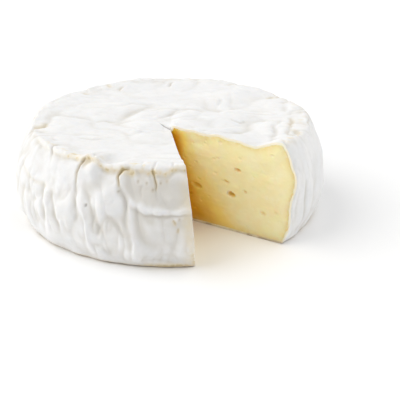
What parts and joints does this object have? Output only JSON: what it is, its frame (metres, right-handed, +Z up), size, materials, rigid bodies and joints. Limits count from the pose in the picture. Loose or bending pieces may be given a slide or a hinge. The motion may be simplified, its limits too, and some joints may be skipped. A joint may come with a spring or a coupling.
{
  "type": "brie wheel",
  "caption": "Small round soft-ripened cheese with a bloomy white rind, an uneven raised rim, a folded and slumped side, and one wedge cut out down to the base",
  "frame": {"origin": "on the flat base, on the axis of the round side", "axes": "+Z up out of the top; +X to the right and -Y to the front, the missing wedge opening between them"},
  "size_m": [0.1298, 0.1294, 0.0431],
  "materials": {
    "rind": "matte"
  },
  "bodies": {
    "root": {"cheese_wheel": "rind"}
  },
  "joints": []
}
